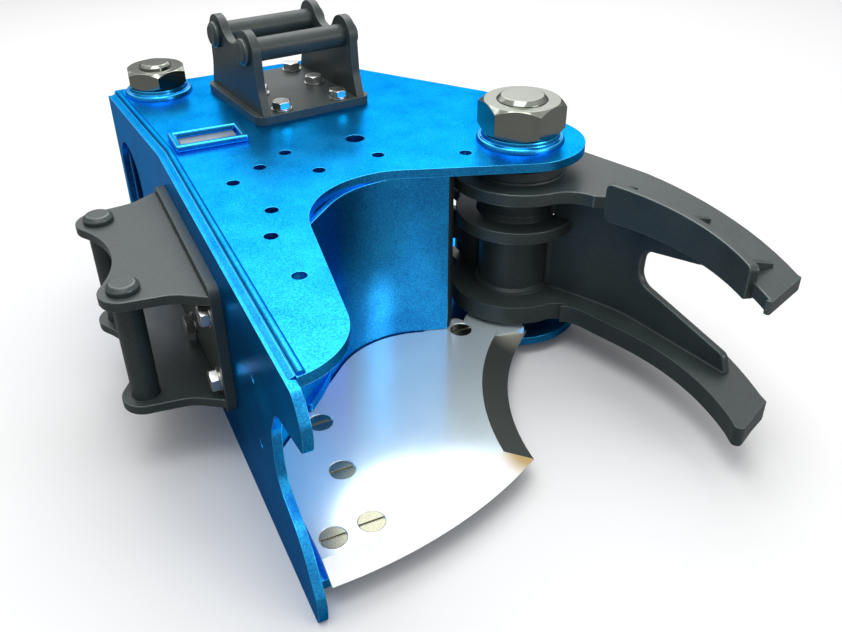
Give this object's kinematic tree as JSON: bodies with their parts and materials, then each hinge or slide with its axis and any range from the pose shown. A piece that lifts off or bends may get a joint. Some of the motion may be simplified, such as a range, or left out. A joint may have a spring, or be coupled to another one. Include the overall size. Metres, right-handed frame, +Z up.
{
  "type": "excavator tree shear",
  "caption": "Tree shear for an excavator: welded body with a fixed blade, a swinging double-tine claw driven by a hidden hydraulic cylinder, and pin-on brackets on top and side.",
  "frame": {"origin": "on the foot plane, straight under the claw pivot axis", "axes": "+Z up along the pivot axis, +Y to the rear along the outer wall, +X from the outer wall towards the claw"},
  "size_m": [0.9128, 1.0876, 0.512],
  "materials": {
    "paint_blue": "satin metallic blue enamel with a fine grain",
    "blank": "brushed",
    "blade_steel": "ground and polished",
    "zinc": "zinc plated",
    "nut_steel": "turned, slightly warm",
    "bronze": "machined",
    "paint_grey": "textured dark grey paint",
    "steel": "machined"
  },
  "bodies": {
    "frame": {"top_plate": "paint_blue", "bottom_plate": "paint_blue", "outer_wall": "paint_blue", "throat_wall": "paint_blue", "rear_wall": "paint_blue", "edge_weld": "paint_blue", "pivot_rings": "paint_blue", "base_pin_bosses": "paint_blue", "name_frame": "paint_blue", "blank_plate": "blank", "blade": "blade_steel", "blade_screws": "zinc", "top_bracket_bolts": "zinc", "side_bracket_bolts": "zinc", "pivot_pin": "nut_steel", "pivot_nut": "nut_steel", "base_pin": "nut_steel", "base_pin_nut": "nut_steel", "thrust_washers": "bronze", "top_bracket_base": "paint_grey", "top_bracket_ears": "paint_grey", "top_bracket_pins": "paint_grey", "side_bracket_base": "paint_grey", "side_bracket_ears": "paint_grey", "side_bracket_pins": "paint_grey"},
    "claw": {"claw_hub": "paint_grey", "hub_bushes": "bronze", "upper_tine": "paint_grey", "lever_plate": "paint_grey", "lower_tine": "paint_grey", "claw_web": "paint_grey", "push_plate": "paint_grey", "push_gussets": "paint_grey", "rod_pin": "steel", "rod_pin_clips": "steel"},
    "cylinder": {"cylinder_barrel": "paint_grey", "cylinder_gland": "steel", "cylinder_ports": "steel", "base_eye_bush": "bronze"},
    "rod": {"piston_rod": "steel", "piston": "steel", "rod_eye": "paint_grey"}
  },
  "joints": [
    {"name": "claw_swing", "type": "hinge", "parent": "frame", "child": "claw", "pos_m": [0, 0, 0.2], "axis": [0, 0, 1], "range_deg": [-50, 0]},
    {"name": "cylinder_swing", "type": "hinge", "parent": "frame", "child": "cylinder", "pos_m": [-0.498, 0.508, 0.154], "axis": [0, 0, 1], "range_deg": [0, 3.8]},
    {"name": "rod_slide", "type": "slide", "parent": "cylinder", "child": "rod", "axis": [0.7678, -0.6407, 0], "range_m": [0, 0.0832]}
  ],
  "couplings": [
    {"joint": "cylinder_swing", "follows": "claw_swing", "ratio": -0.07501},
    {"joint": "rod_slide", "follows": "claw_swing", "m_per_rad": -0.09417}
  ]
}
